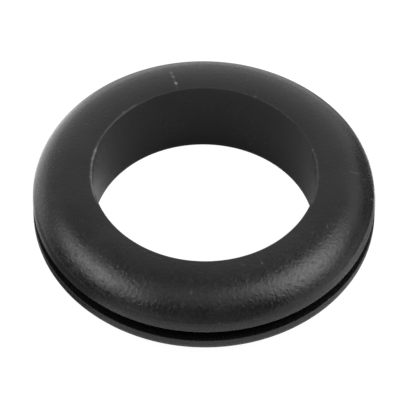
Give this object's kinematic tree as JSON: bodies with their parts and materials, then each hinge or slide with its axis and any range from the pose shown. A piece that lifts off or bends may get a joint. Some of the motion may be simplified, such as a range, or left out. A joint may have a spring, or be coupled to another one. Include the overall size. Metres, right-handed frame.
{
  "type": "cable grommet",
  "caption": "Open rubber grommet: a moulded ring with a plain hole for a cable, two domed flanges and a narrow groove around its edge that snaps into a round panel hole.",
  "frame": {"origin": "centre of the cable hole on the plane of the lower flange's flat ring, which the grommet stands on", "axes": "+Z along the cable hole, from the lower flange to the upper one; the ring is the same at every angle about Z, so X and Y are free"},
  "size_m": [0.0308, 0.0308, 0.0079],
  "materials": {
    "rubber": "satin"
  },
  "bodies": {
    "root": {"grommet": "rubber"}
  },
  "joints": []
}
